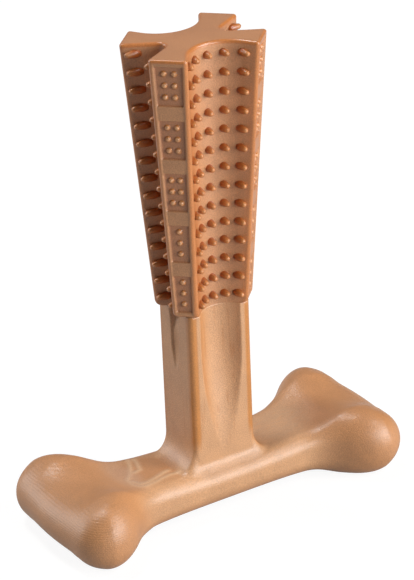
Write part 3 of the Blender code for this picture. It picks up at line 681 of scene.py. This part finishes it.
def panel_nubs():
    """Roots and directions of the small nubs on the panels, which stand square to each end face."""
    places = []
    for index, (low, high) in enumerate(panel_spans()):
        for row in range(PANEL_NUB_ROWS):
            z = (low + high) / 2 + PANEL_NUB_LIFT + PANEL_NUB_PITCH * (row - (PANEL_NUB_ROWS - 1) / 2)
            columns = (-0.5, 0.5) if index < PANEL_DOUBLE_COLUMNS else (0.0,)
            places += [(column, z) for column in columns]
    column, z = np.array(places).T
    sizes = head_sizes(z)
    low_corner, high_corner = lobe_corners(sizes["radius"], sizes["low"], sizes["high"])
    across = column * PANEL_NUB_SPREAD * sizes["radius"] / HEAD_RADIUS[1]
    point = (low_corner + high_corner) / 2 + np.stack([-across, across], axis=-1) * DIAGONAL
    point = np.column_stack([point - PANEL_DEPTH * DIAGONAL, z])
    return mirrored(point, (DIAGONAL, DIAGONAL, 0.0), QUARTERS)


# ---------------------------------------------------------------- materials

# ---- the nylon's skin; lengths in millimetres ----
NOISE_DETAIL = 3.0
NOISE_LEVELS = (0.3, 0.7)           # between which most of a noise's values lie
GRAIN_WIDTH = 0.35                  # about three times the true width, so that the grain shows
GRAIN_DETAIL = 2.0
GRAIN_SHARES = (0.3, 1.0)           # of its height, where the mould was polished and blasted
SPECKLE = 0.11                      # how much the grain lightens and darkens the colour
CLOUD_WIDTH = 8.0
CLOUD_DISTORTION = 0.6
CLOUD_SHADES = (0.95, 1.05)
PAINTED_EDGE_SHADE_LEVELS = (0.25, 0.95)       # facing weights where the painted amber edge shade starts, and where it is full
PAINTED_EDGE_SHADE_SHARE = 0.75
ROUGHNESS = (0.36, 0.58)            # the same
BUMP_DEPTH = 0.12
FILM_BUMP_DEPTH = 0.09              # the glossy film over the grain follows it less closely
FILM_WEIGHT = 0.8
FILM_ROUGHNESS = 0.25
NYLON_IOR = 1.53

# ---- marks: an oval is its centre, its radii and its soft rim, a tone is a colour and a strength,
# ---- and a ramp is the two places between which a mark comes in ----
ROLLER_TONE = ("#bc7f4d", 0.7)
ROLLER_TONE_RAMP = (26.0, 44.0)
# painted shade in the hollow between the right roller's inner slope and its ball
PAINTED_SHADE_HOLLOW_OVAL = ((35.5, -4.0), (7.0, 9.0), 0.6)
PAINTED_SHADE_HOLLOW_TONE = ("#a0683c", 0.7)
CUTTER_STEP = 0.6                   # about twice the true height, so that the lines show
CUTTER_DISTORTION = 0.4
CUTTER_RAMP = (-26.0, -36.0)
CUTTER_HEIGHT = 0.25
STREAK_WIDTH = 1.6
STREAK_SQUEEZE = 0.07               # of the noise along Z, which draws it out into streaks
STREAK_DISTORTION = 0.8
STREAK_LEVELS = (0.56, 0.7)
STREAK_SIDE_RAMP = (12.5, 10.5)
STREAK_FOOT_RAMP = (18.0, 28.0)
STREAK_TONE = ("#b9783f", 0.4)
SWIRL_OVAL = ((-22.5, 0.5), (10.5, 7.0), 0.12)
SWIRL_TONE = ("#b98052", 0.7)
SWIRL_HEIGHT = -0.4
RIDGE_TONE = ("#e2bc96", 0.9)
RIDGE_HEIGHT = 1.5
# a painted sheen along the left edge of the swirl's dish
PAINTED_SHEEN_OVAL = ((-30.5, 0.0), (4.5, 9.0), 0.5)
PAINTED_SHEEN_TONE = ("#c3a48f", 0.5)
# fibrous patch: the fibres are the surface's own, the pale grey is a painted sheen
FIBRE_SHEEN_OVAL = ((24.0, 1.0), (11.0, 9.0), 0.45)
FIBRE_SHEEN_TONE = ("#b59a80", 0.55)
FIBRE_WIDTH = 0.6
FIBRE_TURN = -0.5
FIBRE_SQUEEZE = 0.2
FIBRE_LEVELS = (0.25, 0.65)
FIBRE_SHARES = (0.35, 1.0)
WAVE_FACTOR = 20                    # radians of a wave texture's bands in a metre, at scale 1


def linear(colour):
    """Linear RGBA of an sRGB hex colour."""
    values = np.array([int(colour[i:i + 2], 16) for i in (1, 3, 5)]) / 255.0
    values = np.where(values <= 0.04045, values / 12.92, ((values + 0.055) / 1.055) ** 2.4)
    return (*values.tolist(), 1.0)


def new_material(name):
    """An empty node material and its tree."""
    material = bpy.data.materials.new(name)
    material.use_nodes = True
    material.node_tree.nodes.clear()
    return material, material.node_tree


def add_node(tree, kind, settings=None, **inputs):
    """Adds a node with its settings, and sets or links its inputs. A key is a socket's name with
    underscores for spaces, or in_ and a number; a value is a constant or another node's output."""
    node = tree.nodes.new(kind)
    for key, value in (settings or {}).items():
        setattr(node, key, value)
    for key, value in inputs.items():
        socket = node.inputs[int(key[3:])] if key.startswith("in_") else node.inputs[key.replace("_", " ")]
        if isinstance(value, bpy.types.NodeSocket):
            tree.links.new(value, socket)
        else:
            socket.default_value = value
    return node


def value_between(tree, value, low, high, to_low=0.0, to_high=1.0):
    """A value stretched from one range to another with level ends, as a node's output."""
    return add_node(
        tree, "ShaderNodeMapRange", {"interpolation_type": "SMOOTHSTEP"},
        Value=value, From_Min=low, From_Max=high, To_Min=to_low, To_Max=to_high,
    ).outputs["Result"]


def ramp(tree, coordinate, start, end):
    """0 to 1 as a coordinate goes from start to end, in millimetres, as a node's output."""
    return value_between(tree, coordinate, start * MM, end * MM)


def combine_values(tree, operation, first, second, third=0.0):
    """The outcome of one step of arithmetic, as a node's output."""
    settings = {"operation": operation}
    return add_node(tree, "ShaderNodeMath", settings, in_0=first, in_1=second, in_2=third).outputs[0]


def blend_colours(tree, first, second, share, kind="MIX"):
    """Two colours blended by a share, as a node's output."""
    settings = {"data_type": "RGBA", "blend_type": kind}
    return add_node(tree, "ShaderNodeMix", settings, in_0=share, in_6=first, in_7=second).outputs[2]


def toned(tree, colour, mask, tone, strength):
    """A colour with a tone laid over it where a mask is 1, as a node's output."""
    return blend_colours(tree, colour, linear(tone), combine_values(tree, "MULTIPLY", mask, strength))


def noise(tree, place, width, detail, distortion=0.0):
    """A noise whose lumps are about a width of millimetres across, as a node's output."""
    return add_node(
        tree, "ShaderNodeTexNoise",
        Vector=place, Scale=1.0 / (width * MM), Detail=detail, Distortion=distortion,
    ).outputs["Fac"]


def level_bands(tree, place, period, distortion):
    """Level bands a period of millimetres apart, as a node's output."""
    return add_node(
        tree, "ShaderNodeTexWave", {"bands_direction": "Z"},
        Vector=place, Scale=2 * math.pi / (WAVE_FACTOR * period * MM), Distortion=distortion,
    ).outputs["Fac"]


def inside_oval(tree, place, centre, radii, rim):
    """1 inside an upright oval column and 0 outside, as a node's output."""
    moved = add_node(
        tree, "ShaderNodeMapping", Vector=place,
        Location=(-centre[0] / radii[0], -centre[1] / radii[1], 0.0),
        Scale=(1.0 / (radii[0] * MM), 1.0 / (radii[1] * MM), 0.0),
    ).outputs[0]
    reach = add_node(tree, "ShaderNodeVectorMath", {"operation": "LENGTH"}, in_0=moved).outputs["Value"]
    return value_between(tree, reach, 1.0 - rim, 1.0 + rim, 1.0, 0.0)


def roller_marks(tree, place, colour, height):
    """Marks on the rollers: a deeper tan towards them, painted shade in the hollow beside the right
    one, and the cutter's level lines on the left one."""
    axes = add_node(tree, "ShaderNodeSeparateXYZ", Vector=place).outputs
    beside = combine_values(tree, "ABSOLUTE", axes["X"], 0.0)
    colour = toned(tree, colour, ramp(tree, beside, *ROLLER_TONE_RAMP), *ROLLER_TONE)
    # painted shade in the hollow beside the right roller
    colour = toned(tree, colour, inside_oval(tree, place, *PAINTED_SHADE_HOLLOW_OVAL), *PAINTED_SHADE_HOLLOW_TONE)
    lines = level_bands(tree, place, CUTTER_STEP, CUTTER_DISTORTION)
    lines = combine_values(tree, "MULTIPLY", lines, ramp(tree, axes["X"], *CUTTER_RAMP))
    return colour, combine_values(tree, "MULTIPLY_ADD", lines, CUTTER_HEIGHT, height)


def stem_streaks(tree, place, colour):
    """Dark streaks where the melt ran up the stem."""
    axes = add_node(tree, "ShaderNodeSeparateXYZ", Vector=place).outputs
    beside = combine_values(tree, "ABSOLUTE", axes["X"], 0.0)
    upright = add_node(tree, "ShaderNodeMapping", Vector=place, Scale=(1.0, 1.0, STREAK_SQUEEZE)).outputs[0]
    streak = noise(tree, upright, STREAK_WIDTH, NOISE_DETAIL, STREAK_DISTORTION)
    streak = value_between(tree, streak, *STREAK_LEVELS)
    streak = combine_values(tree, "MULTIPLY", streak, ramp(tree, beside, *STREAK_SIDE_RAMP))
    streak = combine_values(tree, "MULTIPLY", streak, ramp(tree, axes["Z"], *STREAK_FOOT_RAMP))
    return toned(tree, colour, streak, *STREAK_TONE)


def swirl_marks(tree, place, colour, height):
    """A sunk swirl beside the stem's left foot, the ridges the melt left in it, and a painted sheen at its
    end.
    """
    swirl = inside_oval(tree, place, *SWIRL_OVAL)
    ridge = add_node(tree, "ShaderNodeAttribute", {"attribute_name": "flow"}).outputs["Fac"]
    colour = toned(tree, colour, swirl, *SWIRL_TONE)
    colour = toned(tree, colour, ridge, *RIDGE_TONE)
    # painted sheen at the swirl's left end
    colour = toned(tree, colour, inside_oval(tree, place, *PAINTED_SHEEN_OVAL), *PAINTED_SHEEN_TONE)
    height = combine_values(tree, "MULTIPLY_ADD", swirl, SWIRL_HEIGHT, height)
    return colour, combine_values(tree, "MULTIPLY_ADD", ridge, RIDGE_HEIGHT, height)


def fibre_sheen_patch(tree, place, colour):
    """A fibrous patch at the stem's right foot: its fibres are real, its pale grey a painted sheen."""
    turned = add_node(
        tree, "ShaderNodeMapping", Vector=place,
        Rotation=(0.0, 0.0, FIBRE_TURN), Scale=(FIBRE_SQUEEZE, 1.0, 1.0),
    ).outputs[0]
    fibre = noise(tree, turned, FIBRE_WIDTH, NOISE_DETAIL)
    fibre = value_between(tree, fibre, *FIBRE_LEVELS, *FIBRE_SHARES)
    patch = combine_values(tree, "MULTIPLY", inside_oval(tree, place, *FIBRE_SHEEN_OVAL), fibre)
    # the patch's pale grey is painted sheen over real fibres
    return toned(tree, colour, patch, *FIBRE_SHEEN_TONE)


def bone_marks(tree, place, colour, height):
    """The marks that the mould and the melt left on the bone and its stem."""
    colour, height = roller_marks(tree, place, colour, height)
    colour = stem_streaks(tree, place, colour)
    colour, height = swirl_marks(tree, place, colour, height)
    return fibre_sheen_patch(tree, place, colour), height


def moulded_nylon(name, coarse_shaded, blasted, polished, marks=None):
    """Tan nylon, injection moulded. Where the mould was blasted the skin is frosted by a fine grain;
    edges and nubs came out smooth, so that the deeper amber of the bulk shows there. Towards the
    outline a deeper amber is also painted, as shade."""
    material, tree = new_material(name)
    place = add_node(tree, "ShaderNodeTexCoord").outputs["Object"]
    finish = add_node(tree, "ShaderNodeAttribute", {"attribute_name": "grain"}).outputs["Fac"]
    grain = noise(tree, place, GRAIN_WIDTH, GRAIN_DETAIL)
    cloud = noise(tree, place, CLOUD_WIDTH, NOISE_DETAIL, CLOUD_DISTORTION)
    colour = blend_colours(
        tree, linear(polished), linear(blasted), value_between(tree, finish, POLISHED, BLASTED)
    )
    # the coarse colour is painted shade on the sunk panels' floors
    colour = blend_colours(tree, colour, linear(coarse_shaded), value_between(tree, finish, BLASTED, COARSE_SHADED))
    grain_share = value_between(tree, finish, POLISHED, BLASTED, *GRAIN_SHARES)
    height = combine_values(tree, "MULTIPLY", grain, grain_share)
    if marks:
        colour, height = marks(tree, place, colour, height)
    speckle = value_between(tree, grain, *NOISE_LEVELS, -SPECKLE, SPECKLE)
    shade = combine_values(tree, "ADD", speckle, value_between(tree, cloud, *NOISE_LEVELS, *CLOUD_SHADES))
    tint = add_node(tree, "ShaderNodeCombineColor", Red=shade, Green=shade, Blue=shade).outputs[0]
    colour = blend_colours(tree, colour, tint, 1.0, "MULTIPLY")
    # painted shade: a deeper amber is painted where the skin turns away from the eye, standing in for the
    # saturated shade of rounded edges and of the nubs' sides
    painted_edge_shade = add_node(tree, "ShaderNodeLayerWeight", Blend=0.5).outputs["Facing"]
    painted_edge_shade = value_between(tree, painted_edge_shade, *PAINTED_EDGE_SHADE_LEVELS, 0.0, PAINTED_EDGE_SHADE_SHARE)
    colour = blend_colours(tree, colour, linear(polished), painted_edge_shade)
    bump, film = (
        add_node(tree, "ShaderNodeBump", Strength=1.0, Distance=depth * MM, Height=height).outputs["Normal"]
        for depth in (BUMP_DEPTH, FILM_BUMP_DEPTH)
    )
    shader = add_node(
        tree, "ShaderNodeBsdfPrincipled",
        Base_Color=colour, Roughness=value_between(tree, finish, POLISHED, BLASTED, *ROUGHNESS),
        Normal=bump, IOR=NYLON_IOR,
        Coat_Weight=FILM_WEIGHT, Coat_Roughness=FILM_ROUGHNESS, Coat_Normal=film,
    )
    add_node(tree, "ShaderNodeOutputMaterial", Surface=shader.outputs[0])
    return material


# ---------------------------------------------------------------- pieces

# colours where the mould was coarse (darker, as painted shade in the sunk panels), blasted and polished
bone_nylon = moulded_nylon("blasted_tan_nylon", "#ae7a4e", "#cc996d", "#c4803f", bone_marks)
head_nylon = moulded_nylon("blasted_amber_nylon", "#ba7e56", "#c48c60", "#c47a40")
# the dots' lighter colour is a painted highlight on the small domes
painted_highlight_dot_nylon = moulded_nylon("glossy_dot_nylon", "#dca06c", "#dca06c", "#c87f42")
nub_nylon = moulded_nylon("glossy_nub_nylon", "#cc8a50", "#c88246", "#aa581c")

bone_and_stem = join_skins([bone_skin(), stem_skin()])
make_piece("bone_and_stem", bone_and_stem, bone_nylon, "bone_stem_core")
make_piece("head_wall", head_skin(), head_nylon, "brush_head")
channel_nubs = [
    nub_field(wide_nubs(), WIDE_NUB_SIZE, CHANNEL_NUB_SIDES),
    nub_field(narrow_nubs(), NARROW_NUB_SIZE, CHANNEL_NUB_SIDES),
]
make_piece("channel_nubs", join_skins(channel_nubs), nub_nylon)
make_piece("panel_nubs", nub_field(panel_nubs(), PANEL_NUB_SIZE, PANEL_NUB_SIDES), painted_highlight_dot_nylon)

# ---------------------------------------------------------------- floor, lights and camera

FLOOR_HALF = 3.0                        # metres
FLOOR_COLOURS = ("#a0a0a0", "#707070")  # as the object and as the camera sees it
FLOOR_GLOWS = (0.9, 0.2)                # for the camera, and in reflections
CAMERA_PLACE = (-371.761, -595.68, 413.055)
CAMERA_TURN = (32.05, 26.15, -2.34)     # degrees: to the right of +Y, down, and tilt
CAMERA_LENS = 165.47                    # millimetres, like the sensor's height
SENSOR_HEIGHT = 36.0
WORLD_LEVEL = 0.06
# name, direction from the object, distance, size (metres), power (watts)
SOFTBOXES = (
    ("top_back", (-0.15, 0.3, 0.92), 1.0, 0.2, 4.0),
    ("high_right", (0.41, -0.48, 0.78), 1.0, 0.2, 1.6),
    ("front_right", (0.7, -0.9, 0.3), 1.2, 0.8, 13.0),
    ("front", (0.12, -1.0, 0.3), 1.2, 0.5, 5.2),
    ("back_left", (-0.7, 0.8, 0.35), 1.2, 0.9, 7.5),
    ("back", (0.5, 1.0, 0.35), 1.2, 1.5, 1.5),
)


def white_floor():
    """A pale floor that the camera sees as white, but for a light contact shadow."""
    material, tree = new_material("pale_paper")
    path = add_node(tree, "ShaderNodeLightPath")
    seen = path.outputs["Is Camera Ray"]
    paper = blend_colours(tree, *(linear(colour) for colour in FLOOR_COLOURS), seen)
    diffuse = add_node(tree, "ShaderNodeBsdfDiffuse", Color=paper)
    shine = combine_values(tree, "MULTIPLY", seen, FLOOR_GLOWS[0])
    shine = combine_values(tree, "MULTIPLY_ADD", path.outputs["Is Glossy Ray"], FLOOR_GLOWS[1], shine)
    glow = add_node(tree, "ShaderNodeEmission", Strength=shine)
    both = add_node(tree, "ShaderNodeAddShader", in_0=diffuse.outputs[0], in_1=glow.outputs[0])
    add_node(tree, "ShaderNodeOutputMaterial", Surface=both.outputs[0])
    mesh = bpy.data.meshes.new("floor")
    corners = [(x * FLOOR_HALF, y * FLOOR_HALF, 0.0) for x, y in ((-1, -1), (1, -1), (1, 1), (-1, 1))]
    mesh.from_pydata(corners, [], [(0, 1, 2, 3)])
    mesh.materials.append(material)
    floor = bpy.data.objects.new("floor", mesh)
    bpy.context.scene.collection.objects.link(floor)


def studio_world():
    """White for the camera, and one low level as light."""
    world = bpy.data.worlds.new("studio")
    world.use_nodes = True
    tree = world.node_tree
    tree.nodes.clear()
    seen = add_node(tree, "ShaderNodeLightPath").outputs["Is Camera Ray"]
    strength = combine_values(tree, "MAXIMUM", WORLD_LEVEL, seen)
    glow = add_node(tree, "ShaderNodeBackground", Strength=strength)
    add_node(tree, "ShaderNodeOutputWorld", Surface=glow.outputs[0])
    bpy.context.scene.world = world


def softbox(name, direction, distance, size, watts):
    """A square softbox that faces the object's middle."""
    data = bpy.data.lights.new(name, "AREA")
    data.size = size
    data.energy = watts
    lamp = bpy.data.objects.new(name, data)
    back = Vector(direction).normalized()
    lamp.location = back * distance + Vector((0.0, 0.0, HEAD_BOTTOM * MM))
    lamp.rotation_euler = back.to_track_quat("Z", "Y").to_euler()
    bpy.context.scene.collection.objects.link(lamp)


def product_camera():
    """The camera, from its place, its turns and its lens."""
    yaw, pitch, roll = (math.radians(value) for value in CAMERA_TURN)
    ahead = np.array([math.sin(yaw) * math.cos(pitch), math.cos(yaw) * math.cos(pitch), -math.sin(pitch)])
    level_right = np.array([math.cos(yaw), -math.sin(yaw), 0.0])
    level_up = np.cross(level_right, ahead)
    right = math.cos(roll) * level_right + math.sin(roll) * level_up
    up = math.cos(roll) * level_up - math.sin(roll) * level_right
    data = bpy.data.cameras.new("camera")
    data.sensor_fit = "VERTICAL"
    data.sensor_height = SENSOR_HEIGHT
    data.lens = CAMERA_LENS
    camera = bpy.data.objects.new("camera", data)
    columns = np.stack([right, up, -ahead, np.array(CAMERA_PLACE) * MM], axis=1)
    camera.matrix_world = Matrix([*columns.tolist(), (0.0, 0.0, 0.0, 1.0)])
    bpy.context.scene.collection.objects.link(camera)
    bpy.context.scene.camera = camera


white_floor()
studio_world()
for box in SOFTBOXES:
    softbox(*box)
product_camera()

bpy.context.scene.view_settings.view_transform = "Standard"
